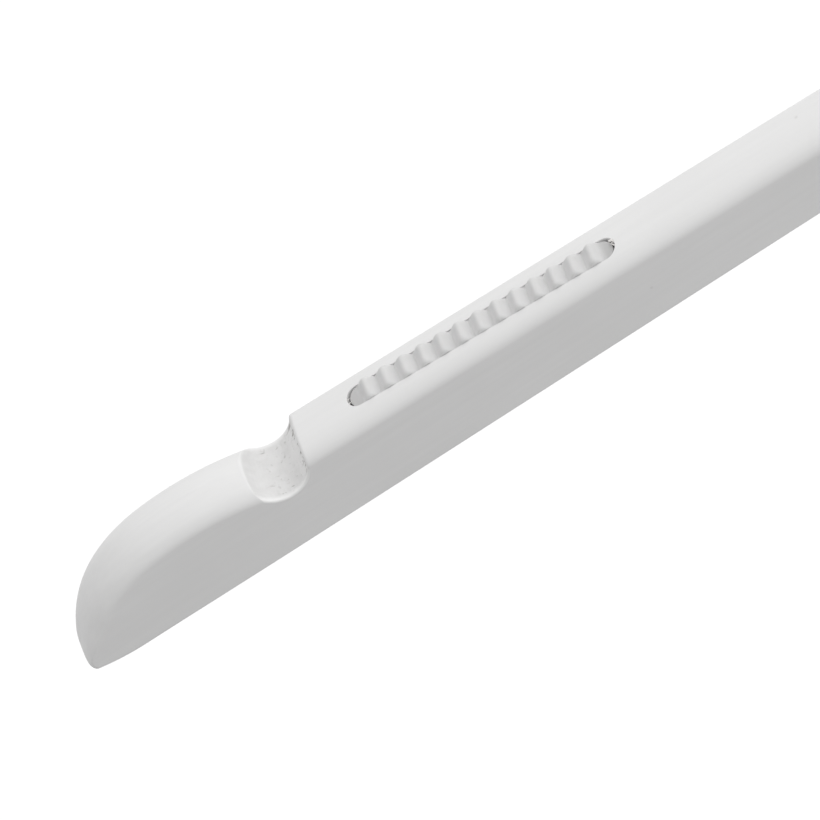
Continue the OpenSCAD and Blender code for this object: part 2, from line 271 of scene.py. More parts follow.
lip_steps = 6
lip_repeats = 8
notch_steps = 60
calm_share = 1 / 12
calm_rim = 0.001


def notch_path(ring):
    """The notch at one ring, from its lip on the nose down over the floor to its lip on the arm."""
    # The lip on the nose touches the crown from below and the notch from outside.
    inset, before = ring_place(ring, nose_edge)
    notch_centre = notch_middle(before)
    lip_radius = notch_nose_lip + notch_lip_growth * (board_half - before)
    nose_lip = meeting(crown_centre, crown_radius - inset - lip_radius,
                       notch_centre, notch_size(before) + lip_radius)
    lip_start = heading(nose_lip - crown_centre)
    lip_end = heading(notch_centre - nose_lip)
    floor_start = heading(nose_lip - notch_centre) % (2 * math.pi)
    path = [(point, before) for point in arc(nose_lip, lip_radius, lip_start, lip_end, lip_steps)[:-1]]
    # The lip on the arm touches the straight top edge, and the notch's upright wall or its round.
    inset, before = ring_place(ring, arm_edge)
    notch_centre = notch_middle(before)
    to_notch = notch_size(before) + notch_arm_lip
    sunk = Vector((0, (inset + notch_arm_lip) / math.cos(arm_taper)))
    arm_lip = top_edge(notch_centre.x + to_notch) - sunk
    wall = math.pi
    floor_end = 2 * math.pi
    if arm_lip.y < notch_centre.y:
        # Each repeat brings the lip closer to touching both.
        for repeat in range(lip_repeats):
            below = notch_centre.y - arm_lip.y
            arm_lip = top_edge(notch_centre.x + math.sqrt(to_notch ** 2 - below ** 2)) - sunk
        wall = heading(notch_centre - arm_lip)
        floor_end += heading(arm_lip - notch_centre)
    # The rough floor between them is calm at its lips and rims.
    for step in range(notch_steps + 1):
        share = step / notch_steps
        out = direction(floor_start + (floor_end - floor_start) * share)
        floor_before = ring_place(ring, nose_edge.lerp(arm_edge, share))[1]
        point = notch_middle(floor_before) + notch_size(floor_before) * out
        from_face = board_half - abs(floor_before)
        calm = min(1, share / calm_share, (1 - share) / calm_share, from_face / calm_rim)
        path.append((point + calm * end_grain(point, floor_before) * out, floor_before))
    lip = arc(arm_lip, notch_arm_lip, wall, math.pi / 2 - arm_taper, lip_steps)
    return path + [(point, before) for point in lip[1:]]


top_steps = 12
vee_steps = 10
sweep_steps = 36
shoulder_steps = 14


def top_path(ring):
    """The straight top edge at one ring, from the notch to the sweep."""
    inset, before = ring_place(ring, arm_edge)
    sunk = inset * leaning(-arm_taper)
    start = notch_place + notch_to_top
    length = (sweep_start - on_board(top_edge(start))).length
    return [(top_edge(start + length * step / top_steps) - sunk, before) for step in range(top_steps)]


def vee_path(ring):
    """The hollow under the middle of the hanger at one ring, down to the left arm's bottom edge."""
    return round_stretch(ring, vee_centre, -vee_radius, math.pi, math.pi + arm_slope,
                         bottom_edge, bottom_edge, vee_steps, 0)


def half_ring(ring):
    """The left half of one ring, from the top of the vee round the nose to the top of the neck."""
    arm = nose_path(ring) + notch_path(ring) + top_path(ring)
    half = vee_path(ring) + [(on_board(point), before) for point, before in arm]
    half += round_stretch(ring, sweep_centre, -sweep_radius, top_slope, neck_slope,
                          arm_edge, neck_edge, sweep_steps, 0)
    half += round_stretch(ring, shoulder_centre, shoulder_radius, neck_slope, 0,
                          neck_edge, neck_edge, shoulder_steps)
    return [Vector((point.x, -before, board_z + point.y)) for point, before in half]


def mesh_object(name, vertices, faces):
    mesh = bpy.data.meshes.new(name)
    mesh.from_pydata(vertices, [], faces)
    made = bpy.data.objects.new(name, mesh)
    bpy.context.scene.collection.objects.link(made)
    return made


def joined_rings(rings, count):
    """Faces that join rings of so many points each, with one more across the first ring and the last."""
    faces = []
    for ring in range(rings - 1):
        here = ring * count
        for place in range(count):
            beside = (place + 1) % count
            faces.append((here + place, here + beside, here + count + beside, here + count + place))
    faces.append(tuple(reversed(range(count))))
    faces.append(tuple(range((rings - 1) * count, rings * count)))
    return faces


same_point = 1e-7


def face_outwards(mesh):
    """Joins doubled points and turns every face outwards."""
    shaped = bmesh.new()
    shaped.from_mesh(mesh)
    bmesh.ops.remove_doubles(shaped, verts=shaped.verts, dist=same_point)
    bmesh.ops.recalc_face_normals(shaped, faces=shaped.faces)
    shaped.to_mesh(mesh)
    shaped.free()


def board_blank(name):
    """The whole board with both notches, before it is cut at the middle."""
    vertices = []
    for ring in range(last_ring + 1):
        half = half_ring(ring)
        vertices += half
        vertices += [Vector((-point.x, point.y, point.z)) for point in reversed(half[1:])]
    around = 2 * len(half) - 1
    blank = mesh_object(name, vertices, joined_rings(last_ring + 1, around))
    # The floors of both notches take the second material.
    floor_first = len(vee_path(0)) + len(nose_path(0)) + lip_steps // 2
    floor_last = floor_first + lip_steps // 2 + notch_steps
    for number in range(last_ring * around):
        place = number % around
        mirrored = around - 1 - place
        if floor_first <= place < floor_last or floor_first <= mirrored < floor_last:
            blank.data.polygons[number].material_index = 1
    return blank


cutter_reach = 0.2


def joint_side(side):
    """Everything on one arm's side of the finger joint, with half of the glue line left free."""
    finger_high = (neck_z - vee_z) / finger_count
    lowest = vee_z - cutter_reach
    highest = neck_z + cutter_reach
    outline = [Vector((side * span, lowest))]
    for finger in range(finger_count):
        points_right = 1 if finger % 2 == 0 else -1
        own = glue_line if points_right == -side else -glue_line
        low = vee_z + finger * finger_high + finger_taper + own
        high = vee_z + (finger + 1) * finger_high - finger_taper - own
        if finger == 0:
            low = lowest
        if finger == finger_count - 1:
            high = highest
        x = points_right * finger_long / 2 + side * glue_line
        outline += [Vector((x, low)), Vector((x, high))]
    outline.append(Vector((side * span, highest)))
    vertices = [(point.x, y, point.y) for y in (-cutter_reach, cutter_reach) for point in outline]
    made = mesh_object("joint_side", vertices, joined_rings(2, len(outline)))
    face_outwards(made.data)
    return made


def stadium(long, wide, steps):
    """A flat shape with straight sides and round ends."""
    shift = Vector(((long - wide) / 2, 0))
    return (arc(shift, wide / 2, -math.pi / 2, math.pi / 2, steps)
            + arc(-shift, wide / 2, math.pi / 2, 3 * math.pi / 2, steps))


def slot_frame(side):
    """The middle of an arm's slot on the top edge, with X to the right along it and Z out of the wood."""
    point = on_board(top_edge(slot_place))
    return (Matrix.Translation((-side * point.x, -slot_shift, board_z + point.y))
            @ Matrix.Rotation(side * top_slope, 4, "Y") @ Matrix.Rotation(side * slot_skew, 4, "Z"))


slot_end_steps = 24
slot_lip_steps = 3
slot_lip_turn = math.radians(25)
slot_flare_high = 0.003
slot_flare_wide = 0.0006


def slot_cut(side):
    """The router's path for a strip, with a softly broken lip, flaring on above the wood."""
    levels = [(-slot_deep, 0), (-slot_lip, 0)]
    for step in range(1, slot_lip_steps + 1):
        angle = step * slot_lip_turn
        levels.append((slot_lip * (math.sin(angle) - 1), slot_lip * (1 - math.cos(angle))))
    levels.append((slot_flare_high, slot_flare_wide))
    place = slot_frame(side)
    vertices = []
    for height, wider in levels:
        outline = stadium(slot_long + 2 * wider, slot_wide + 2 * wider, slot_end_steps)
        vertices += [place @ Vector((point.x, point.y, height)) for point in outline]
    made = mesh_object("slot_cut", vertices, joined_rings(len(levels), len(outline)))
    face_outwards(made.data)
    return made


def turned_piece(name, profile, steps, first_turn=0.0):
    """A profile of radii and heights turned once round the stem's axis."""
    count = len(profile)
    vertices = []
    for step in range(steps):
        around = direction(first_turn + 2 * math.pi * step / steps)
        vertices += [(radius * around.x, radius * around.y, height) for radius, height in profile]
    faces = []
    for step in range(steps):
        here = step * count
        beyond = (step + 1) % steps * count
        for place in range(count):
            beside = (place + 1) % count
            faces.append((here + place, beyond + place, beyond + beside, here + beside))
    made = mesh_object(name, vertices, faces)
    face_outwards(made.data)
    return made


def apply_modifiers(made):
    depsgraph = bpy.context.evaluated_depsgraph_get()
    depsgraph.update()
    plain = bpy.data.meshes.new_from_object(made.evaluated_get(depsgraph), depsgraph=depsgraph)
    made.modifiers.clear()
    made.data = plain


def finished(made, crease=math.radians(35)):
    """Applies the modifiers, then shades the piece smooth between its creases."""
    apply_modifiers(made)
    made.data.shade_smooth()
    made.data.set_sharp_from_angle(angle=crease)
    weighted = made.modifiers.new("even_shading", "WEIGHTED_NORMAL")
    weighted.keep_sharp = True
    apply_modifiers(made)
    return made


class Field:
    """A node's output that can stand in a formula. The formula adds the nodes that work it out."""

    def __init__(self, tree, socket):
        self.tree = tree
        self.socket = socket

    def do(self, operation, other=0.0):
        """One step of arithmetic, by the math node's own name for it."""
        return add(self.tree, "ShaderNodeMath", {0: self, 1: other}, operation=operation)

    def __add__(self, other):
        return self.do("ADD", other)

    def __sub__(self, other):
        return self.do("SUBTRACT", other)

    def __rsub__(self, other):
        return add(self.tree, "ShaderNodeMath", {0: other, 1: self}, operation="SUBTRACT")

    def __mul__(self, other):
        return self.do("MULTIPLY", other)

    def __truediv__(self, other):
        return self.do("DIVIDE", other)


def feed(node, sockets):
    """Sets or links inputs of a node."""
    for socket, value in sockets.items():
        if isinstance(value, Field):
            value.tree.links.new(value.socket, node.inputs[socket])
        else:
            node.inputs[socket].default_value = value


def add(tree, kind, sockets=(), output=0, **settings):
    """Adds a node, feeds its inputs and gives back one of its outputs."""
    node = tree.nodes.new(kind)
    for name, value in settings.items():
        setattr(node, name, value)
    feed(node, dict(sockets))
    return Field(tree, node.outputs[output])


def split(vector):
    """The three coordinates of a vector."""
    node = vector.tree.nodes.new("ShaderNodeSeparateXYZ")
    feed(node, {0: vector})
    return [Field(vector.tree, socket) for socket in node.outputs]


def between_values(value, low, high, to_low, to_high):
    """A value brought from one range to another and kept inside it."""
    return add(value.tree, "ShaderNodeMapRange",
               {"Value": value, "From Min": low, "From Max": high, "To Min": to_low, "To Max": to_high})


def mixed(share, first, second):
    """A blend of two colours. The node's sockets for colours share their names, so they go by number."""
    return add(share.tree, "ShaderNodeMix", {0: share, 6: first, 7: second}, 2, data_type="RGBA")


def clouds(place, per_metre, layers, roughness=0.5):
    """A cloudy pattern of values that lie mostly between 0.3 and 0.7."""
    return add(place.tree, "ShaderNodeTexNoise",
               {"Vector": place, "Scale": per_metre, "Detail": layers, "Roughness": roughness})


def spread(cloud, low, high):
    """A cloudy pattern brought from its usual range to another."""
    return between_values(cloud, 0.3, 0.7, low, high)


def bumped(height, strength, distance):
    return add(height.tree, "ShaderNodeBump", {"Strength": strength, "Distance": distance, "Height": height})


def new_finish(name):
    """An empty material with its shader and its Object coordinates."""
    finish = bpy.data.materials.new(name)
    finish.use_nodes = True
    tree = finish.node_tree
    return finish, tree.nodes["Principled BSDF"], add(tree, "ShaderNodeTexCoord", output="Object")


def grey(value, warm=0.0):
    return (value + warm, value, value - warm, 1)


def grain_along(coordinates, side, drawn):
    """Coordinates turned to an arm and drawn out, so that a pattern runs with the wood's grain."""
    return add(coordinates.tree, "ShaderNodeMapping",
               {"Vector": coordinates, "Rotation": (0, side * arm_slope, 0), "Scale": drawn},
               vector_type="TEXTURE")


paint_dark = grey(0.815, 0.002)
paint_light = grey(0.84, 0.002)
paint_patch = grey(0.80, 0.003)
patches_per_metre = 70
patch_weight = 0.5
grain_drawn = (20, 1, 1)
grain_per_metre = 900
grain_weight = 0.5
peel_per_metre = 1100
speck_cells_per_metre = 140
speck_core = 0.03
speck_edge = 0.07
cells_spared = 0.86
speck_weight = 0.35
speck_colour = grey(0.42, 0.01)


def painted_wood(side):
    """White paint sprayed on closed grain: mottled, faintly streaked, with a few specks."""
    finish, shader, coordinates = new_finish("painted_wood_left" if side < 0 else "painted_wood_right")
    tree = coordinates.tree
    patch = clouds(coordinates, patches_per_metre, layers=3)
    grain = clouds(grain_along(coordinates, side, grain_drawn), grain_per_metre, layers=3)
    peel = clouds(coordinates, peel_per_metre, layers=2)
    cells = {"Vector": coordinates, "Scale": speck_cells_per_metre}
    from_middle = add(tree, "ShaderNodeTexVoronoi", cells, "Distance")
    lot = add(tree, "ShaderNodeSeparateColor", {"Color": add(tree, "ShaderNodeTexVoronoi", cells, "Color")})
    near = between_values(from_middle, speck_core, speck_edge, 1, 0)
    speck = near * lot.do("GREATER_THAN", cells_spared)
    streaked = mixed(spread(grain, 0, 1), paint_dark, paint_light)
    patchy = mixed(spread(patch, 0, patch_weight), streaked, paint_patch)
    feed(shader, {"Base Color": mixed(speck * speck_weight, patchy, speck_colour),
                  "Roughness": spread(patch, 0.40, 0.52), "Specular IOR Level": 0.4,
                  "Normal": bumped(grain * grain_weight + peel - speck, strength=0.35, distance=0.00003)})
    return finish


coat_thin = grey(0.73, 0.004)
coat_full = grey(0.78, 0.003)
coat_edge = grey(0.91, 0.003)
pore_colour = grey(0.42, 0.015)
tear_colour = grey(0.30, 0.015)
coat_clouds_per_metre = 500
pores_per_metre = 1400
pore_start = 0.59
pore_full = 0.70
pore_weight = 0.5
tears_per_metre = 1700
tear_drawn = (6, 1, 6)
tear_start = 0.70
tear_full = 0.77
wall_tears = 0.19
lip_from = -0.7 * notch_radius
lip_to = -0.3 * notch_radius
wall_from = 0.4 * notch_radius
wall_to = 0.9 * notch_radius
rim_wide = 0.0011
rim_solid = 0.0003


def thin_paint(side):
    """One coat soaked into the notch's end grain, with open pores and, at the steep wall, torn fibres."""
    finish, shader, coordinates = new_finish("thin_paint_left" if side < 0 else "thin_paint_right")
    along, across = split(grain_along(coordinates, side, (1, 1, 1)))[:2]
    floor_point = on_board(Vector((notch_place, notch_floor)))
    floor_along = floor_point.x * math.cos(arm_slope) + (board_z + floor_point.y) * math.sin(arm_slope)
    up_arm = along * -side - floor_along
    past_lip = between_values(up_arm, lip_from, lip_to, 0, 1)
    at_wall = between_values(up_arm, wall_from, wall_to, 0, 1)
    at_rim = between_values(across.do("ABSOLUTE"), board_half - rim_wide, board_half - rim_solid, 0, 1)
    rough = past_lip * (1.0 - at_rim)
    pores = clouds(coordinates, pores_per_metre, layers=3, roughness=0.6)
    tears = clouds(grain_along(coordinates, side, tear_drawn), tears_per_metre, layers=2)
    cloud = clouds(coordinates, coat_clouds_per_metre, layers=2)
    coat = mixed(spread(cloud, 0, 1), coat_thin, coat_full)
    coat = mixed(at_wall.do("MAXIMUM", at_rim), coat, coat_edge)
    open_pore = between_values(pores, pore_start, pore_full, 0, pore_weight) * rough
    torn = between_values(tears + at_wall * wall_tears, tear_start, tear_full, 0, 1) * rough
    worn = mixed(torn, mixed(open_pore, coat, pore_colour), tear_colour)
    feed(shader, {"Base Color": worn, "Roughness": 0.75,
                  "Normal": bumped(pores, strength=0.6, distance=0.00008)})
    return finish


bore_radius = 0.00282
bore_turn = math.radians(2)
bore_sides = 64
bore_reach = 0.01
counterbore_radius = 0.0041
counterbore_deep = 0.0055
counterbore_z = vee_z + counterbore_deep


def cut(made, operation, cutter):
    modifier = made.modifiers.new(cutter.name, "BOOLEAN")
    modifier.operation = operation
    modifier.solver = "EXACT"
    modifier.object = cutter


for side, arm in ((-1, "left_arm"), (1, "right_arm")):
    board = board_blank(arm + "_board")
    board.data.materials.append(painted_wood(side))
    board.data.materials.append(thin_paint(side))
    bore_low = vee_z - bore_reach
    bore_high = neck_z + bore_reach
    # A slight turn keeps the bore's corners off the board's own corners, which would leave sliver faces.
    stem_bore = turned_piece("stem_bore", [(0, bore_low), (counterbore_radius, bore_low),
                                           (counterbore_radius, counterbore_z), (bore_radius, counterbore_z),
                                           (bore_radius, bore_high), (0, bore_high)], bore_sides, bore_turn)
    cuts = [("INTERSECT", joint_side(side)), ("DIFFERENCE", slot_cut(side)), ("DIFFERENCE", stem_bore)]
    for operation, cutter in cuts:
        cut(board, operation, cutter)
    finished(board)
    for operation, cutter in cuts:
        bpy.data.objects.remove(cutter)
    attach(board, "hanger")
    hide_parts(arm)


# The grip strips are moulded soft rubber with round cross ribs. Each is pressed into its slot, a little
# down the arm and deeper at its front, and the crests of its ribs stand proud of the wood.
strip_end_gap = 0.0005
strip_side_gap = 0.00005
strip_long = slot_long - 2 * strip_end_gap
strip_wide = slot_wide - 2 * strip_side_gap
strip_tilt = 0.12
strip_slide = 0.0001
strip_crease = math.radians(50)
rib_pitch = 0.0035
rib_high = 0.00135
rib_rise = 0.00083
rib_fullness = 0.75
rib_count = 13
rib_end_long = 0.0009
rib_end_drop = 0.0005
valley_share = 0.2
rib_steps = 20
steps_across = 24
strip_merge = 1e-6
# How softly the painted shade on the lands blends in at the last rib.
lands_shade_blend = 0.0005

rubber_dark = grey(0.68, 0.002)
rubber_light = grey(0.71, 0.002)
# A darker grey painted on the low lands at the strip's ends, standing in for their shade.
lands_shade_colour = grey(0.57, 0.003)
rubber_clouds_per_metre = 260
skin_per_metre = 2600


def grip_rubber():
    """Pale soft rubber with a dull skin, and painted shade darkening the low lands at its ends."""
    finish, shader, coordinates = new_finish("grip_rubber")
    cloud = clouds(coordinates, rubber_clouds_per_metre, layers=3)
    skin = clouds(coordinates, skin_per_metre, layers=2)
    # The lands' darker colour is painted shade of their low place in the ends of the slot.
    lands_painted_shade = add(coordinates.tree, "ShaderNodeAttribute", output="Fac", attribute_name="lands_painted_shade")
    clean = mixed(spread(cloud, 0, 1), rubber_dark, rubber_light)
    feed(shader, {"Base Color": mixed(lands_painted_shade, clean, lands_shade_colour), "Roughness": spread(cloud, 0.5, 0.62),
                  "Specular IOR Level": 0.1, "Sheen Weight": 0.35, "Sheen Roughness": 0.5,
                  "Subsurface Weight": 0.5, "Subsurface Radius": (1, 1, 1), "Subsurface Scale": 0.0006,
                  "Normal": bumped(skin, strength=0.3, distance=0.00002)})
    return finish


def tree_with_sizes(name, sizes):
    """A geometry tree with a named input for each size, and these inputs by name."""
    tree = bpy.data.node_groups.new(name, "GeometryNodeTree")
    tree.interface.new_socket("Geometry", in_out="OUTPUT", socket_type="NodeSocketGeometry")
    kinds = {int: "NodeSocketInt", float: "NodeSocketFloat", tuple: "NodeSocketVector"}
    for size, value in sizes.items():
        tree.interface.new_socket(size, in_out="INPUT", socket_type=kinds[type(value)])
    given = tree.nodes.new("NodeGroupInput").outputs
    return tree, {size: Field(tree, given[size]) for size in sizes}


def grown(name, tree, sizes, finish, shape):
    """Ends a geometry tree in one material and gives back an object that grows from it."""
    whole = add(tree, "GeometryNodeRealizeInstances", {0: shape})
    whole = add(tree, "GeometryNodeSetMaterial", {"Geometry": whole, "Material": finish})
    feed(tree.nodes.new("NodeGroupOutput"), {0: whole})
    made = mesh_object(name, [], [])
    grow = made.modifiers.new(name, "NODES")
    grow.node_group = tree
    for item in tree.interface.items_tree:
        if item.in_out == "INPUT":
            grow[item.identifier] = sizes[item.name]
    return made


def ribbed_strip(name, finish, place):
    """A flat grid bent to the strip's round-ended outline, waved along its top and closed below."""
    sizes = {"Length": strip_long, "Width": strip_wide, "Depth": slot_deep, "Rib pitch": rib_pitch,
             "Rib height": rib_high, "Rib rise": rib_rise, "Rib fullness": rib_fullness, "Ribs": rib_count,
             "Rib end length": rib_end_long, "Rib end drop": rib_end_drop, "Tilt": strip_tilt,
             "Place": tuple(place.to_translation()), "Turn": tuple(place.to_euler())}
    tree, given = tree_with_sizes(name, sizes)
    grid = add(tree, "GeometryNodeMeshGrid",
               {"Size X": given["Length"], "Size Y": 2.0,
                "Vertices X": rib_steps * (rib_count + 1) + 1, "Vertices Y": steps_across + 1})
    bottom = add(tree, "GeometryNodeFlipFaces", {0: grid})
    raised = add(tree, "GeometryNodeExtrudeMesh", {"Mesh": grid, "Offset": (0, 0, 1), "Individual": False})
    both = tree.nodes.new("GeometryNodeJoinGeometry")
    feed(both, {0: bottom})
    feed(both, {0: raised})
    closed = add(tree, "GeometryNodeMergeByDistance",
                 {"Geometry": Field(tree, both.outputs[0]), "Distance": same_point})
    x, y, z = split(add(tree, "GeometryNodeInputPosition"))
    # The grid's ends are drawn in to half rounds.
    half_wide = given["Width"] * 0.5
    straight = (given["Length"] - given["Width"]) * 0.5
    far = x.do("ABSOLUTE")
    turn = (far - straight).do("MAXIMUM", 0.0) / half_wide * (math.pi / 2)
    reach = far.do("MINIMUM", straight) + half_wide * turn.do("SINE")
    along = reach * x.do("SIGN")
    half_here = half_wide * turn.do("COSINE")
    across = half_here * (y * (math.pi / 2)).do("SINE")
    # Full round ribs rise between narrow valleys, with plain lands beyond the last of them.
    ribbed_half = given["Rib pitch"] * given["Ribs"] * 0.5
    past_ribs = reach - ribbed_half
    phase = (along + ribbed_half) / given["Rib pitch"]
    wave = (phase * (2 * math.pi)).do("COSINE")
    rise = (1.0 - wave) * 0.5
    crest = rise.do("POWER", given["Rib fullness"]) * past_ribs.do("LESS_THAN", 0.0)
    top = given["Rib rise"] - given["Rib height"] + given["Rib height"] * crest
    # Each rib rounds down at both its ends, and the whole top tilts to the front.
    full = between_values(crest, 0, 1, valley_share, 1)
    from_side = half_here - across.do("ABSOLUTE")
    into_end = (1.0 - from_side / (given["Rib end length"] * full)).do("MAXIMUM", 0.0)
    fallen = 1.0 - (1.0 - into_end * into_end).do("SQRT")
    top = top - given["Rib end drop"] * full * fallen + across * given["Tilt"]
    is_top = z.do("GREATER_THAN", 0.5)
    floor = given["Depth"] * -1.0
    height = floor + is_top * (top - floor)
    # Painted shade: the lands beyond the last rib, low in the slot, are marked to take a darker colour.
    lands_painted_shade = between_values(past_ribs, -lands_shade_blend, lands_shade_blend, 0, 1)
    dusted = add(tree, "GeometryNodeStoreNamedAttribute", {"Geometry": closed, "Name": "lands_painted_shade", "Value": lands_painted_shade})
    spot = add(tree, "ShaderNodeCombineXYZ", {0: along, 1: across, 2: height})
    shaped = add(tree, "GeometryNodeSetPosition", {"Geometry": dusted, "Position": spot})
    shaped = add(tree, "GeometryNodeMergeByDistance", {"Geometry": shaped, "Distance": strip_merge})
    laid = add(tree, "GeometryNodeTransform",
               {"Geometry": shaped, "Translation": given["Place"], "Rotation": given["Turn"]})
    return grown(name, tree, sizes, finish, laid)


rubber = grip_rubber()
for side, strip in ((-1, "left_grip_strip"), (1, "right_grip_strip")):
    place = slot_frame(side) @ Matrix.Translation((side * strip_slide, 0, 0))
    made = finished(ribbed_strip(strip + "_rubber", rubber, place), strip_crease)
    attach(made, "hanger")
    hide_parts(strip)


# Torn beech fibres stand at both ends of each slot, where the router's cutter left the grain. They are
# part of the board, pale with thin paint, and most are at the upper end.
upper_fibres = 10
lower_fibres = 2
fibre_long = 0.0007
fibre_radius = 0.00013
fibre_tip = 0.25
fibre_bow = 0.2
fibre_steps = 6
fibre_sides = 5
fibre_depth = 0.0002
round_end_spread = 0.5
lowest_aim = -0.7
highest_aim = 0.2
side_aim = 0.6
shortest = 0.5
longest = 1.2

fibre_bare = grey(0.70, 0.03)
fibre_painted = grey(0.88, 0.005)
blotches_per_metre = 4000


def bare_fibre():
    """Beech fibre with a trace of paint on it."""
    finish, shader, coordinates = new_finish("torn_fibre")
    blotch = clouds(coordinates, blotches_per_metre, layers=2)
    feed(shader, {"Base Color": mixed(blotch, fibre_bare, fibre_painted), "Roughness": 0.8})
    return finish


def chance(tree, low, high, seed):
    """A random number between two values for each point. The node's sockets go by number here too."""
    return add(tree, "FunctionNodeRandomValue", {2: low, 3: high, 8: seed}, 1)


def slot_fibres(name, finish, place):
    """Short tapered slivers leaning in from the round ends of a slot."""
    sizes = {"Straight half": (slot_long - slot_wide) / 2, "End radius": slot_wide / 2,
             "Fibres": upper_fibres + lower_fibres, "Upper fibres": upper_fibres, "Length": fibre_long,
             "Radius": fibre_radius, "Place": tuple(place.to_translation()), "Turn": tuple(place.to_euler())}
    tree, given = tree_with_sizes(name, sizes)
    # Each fibre's foot is somewhere round one end of the slot, just below the lip.
    upper = add(tree, "GeometryNodeInputIndex").do("LESS_THAN", given["Upper fibres"])
    end = between_values(upper, 0, 1, -1, 1)
    round_end = chance(tree, -round_end_spread, round_end_spread, seed=3)
    out = given["Straight half"] + given["End radius"] * round_end.do("COSINE")
    across = given["End radius"] * round_end.do("SINE")
    depth = chance(tree, -fibre_depth, 0.0, seed=5)
    spot = add(tree, "ShaderNodeCombineXYZ", {0: out * end, 1: across, 2: depth})
    spots = add(tree, "GeometryNodePoints", {"Count": given["Fibres"], "Position": spot})
    inward = round_end * end + upper * math.pi
    dip = chance(tree, lowest_aim, highest_aim, seed=7)
    swing = chance(tree, -side_aim, side_aim, seed=9)
    aim = add(tree, "ShaderNodeCombineXYZ", {1: dip, 2: inward + swing})
    # One fibre is a bowed line with a thinning section.
    bow = add(tree, "ShaderNodeCombineXYZ", {0: given["Length"] * 0.5, 2: given["Length"] * fibre_bow})
    tip = add(tree, "ShaderNodeCombineXYZ", {0: given["Length"]})
    sliver = add(tree, "GeometryNodeCurveQuadraticBezier",
                 {"Resolution": fibre_steps, "Start": (0, 0, 0), "Middle": bow, "End": tip})
    passed = add(tree, "GeometryNodeSplineParameter", output="Factor")
    thin = given["Radius"] * between_values(passed, 0, 1, 1, fibre_tip)
    section = add(tree, "GeometryNodeCurvePrimitiveCircle", {"Resolution": fibre_sides, "Radius": 1.0})
    sliver = add(tree, "GeometryNodeCurveToMesh",
                 {"Curve": sliver, "Profile Curve": section, "Scale": thin, "Fill Caps": True})
    scale = chance(tree, shortest, longest, seed=11)
    torn = add(tree, "GeometryNodeInstanceOnPoints",
               {"Points": spots, "Instance": sliver, "Rotation": aim, "Scale": scale})
    laid = add(tree, "GeometryNodeTransform",
               {"Geometry": torn, "Translation": given["Place"], "Rotation": given["Turn"]})
    return grown(name, tree, sizes, finish, laid)


fibre = bare_fibre()
# Along both slots X has to point up the arm, so the right one is turned about.
upward = {-1: Matrix.Identity(4), 1: Matrix.Rotation(math.pi, 4, "Z")}
for side, arm in ((-1, "left_arm"), (1, "right_arm")):
    made = finished(slot_fibres(arm + "_fibres", fibre, slot_frame(side) @ upward[side]))
    face_outwards(made.data)
    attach(made, "hanger")


# The neck ferrule is a flanged sleeve, turned from steel and plated bright. It is pressed into the top
# of the neck, and the hook's stem turns in it.
stem_hole = 0.0018
sleeve_radius = 0.0028
flange_radius = 0.0044
flange_thick = 0.0012
flange_top = neck_z + flange_thick
ferrule_edge = 0.00025
turned_sides = 96
tool_rings_per_metre = 5000
plating_clouds_per_metre = 350


def bright_plating(name, colours, shine):
    """Plating over turned or drawn steel, with faint rings left by the tool and cloudy patches."""
    finish, shader, coordinates = new_finish(name)
    x, y, z = split(coordinates)
    out = (x * x + y * y).do("SQRT")
    turned_place = add(coordinates.tree, "ShaderNodeCombineXYZ", {0: out, 2: z})
    rings = clouds(turned_place, tool_rings_per_metre, layers=2)
    cloud = clouds(coordinates, plating_clouds_per_metre, layers=4)
    feed(shader, {"Base Color": mixed(cloud, *colours), "Metallic": 1.0, "Roughness": spread(cloud, *shine),
                  "Normal": bumped(rings, strength=0.25, distance=0.000008)})
    return finish


def broken_edges(made, width):
    """Takes the sharpness off a piece's edges."""
    soften = made.modifiers.new("broken_edges", "BEVEL")
    soften.width = width
    soften.segments = 3
    soften.limit_method = "ANGLE"
    soften.angle_limit = math.radians(28)
    return made


plated = bright_plating("bright_plating", (grey(0.48, 0.006), grey(0.58, 0.004)), (0.12, 0.24))
ferrule = turned_piece("neck_ferrule_sleeve", [(stem_hole, counterbore_z), (sleeve_radius, counterbore_z),
                                               (sleeve_radius, neck_z), (flange_radius, neck_z),
                                               (flange_radius, flange_top), (stem_hole, flange_top)],
                       turned_sides)
ferrule.data.materials.append(plated)
finished(broken_edges(ferrule, ferrule_edge))
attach(ferrule, "hanger")
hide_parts("neck_ferrule")


# The hook washer is punched from zinc plated sheet. It lies against the floor of the counterbore and
# spreads the nut's load over the wood.
washer_radius = 0.0039
washer_thick = 0.0006
washer_z = counterbore_z - washer_thick
washer_edge = 0.00012

zinc = bright_plating("zinc_plating", (grey(0.46, -0.008), grey(0.58, -0.004)), (0.30, 0.48))
washer = turned_piece("hook_washer_ring", [(stem_hole, washer_z), (washer_radius, washer_z),
                                           (washer_radius, counterbore_z), (stem_hole, counterbore_z)],
                      turned_sides)
washer.data.materials.append(zinc)
finished(broken_edges(washer, washer_edge))
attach(washer, "hanger")
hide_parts("hook_washer")


# The hook is one length of drawn steel wire, bent cold round two formers and plated bright. Its stem
# runs down through collar, ferrule and board, and its free end is ground round.
wire_radius = 0.00175
hook_inside = 0.0195
stem_bend = 0.015
hook_end = math.radians(200)
stem_lift = 0.001
stem_low = vee_z + stem_lift
stem_filed_long = 0.0005
stem_filed_share = 0.75
tip_least = 0.002
wire_rings = 700
wire_sides = 28

loop_radius = hook_inside + wire_radius
bend_turn = math.acos(stem_bend / (loop_radius + stem_bend))
bend_z = -hook_inside - (loop_radius + stem_bend) * math.sin(bend_turn)


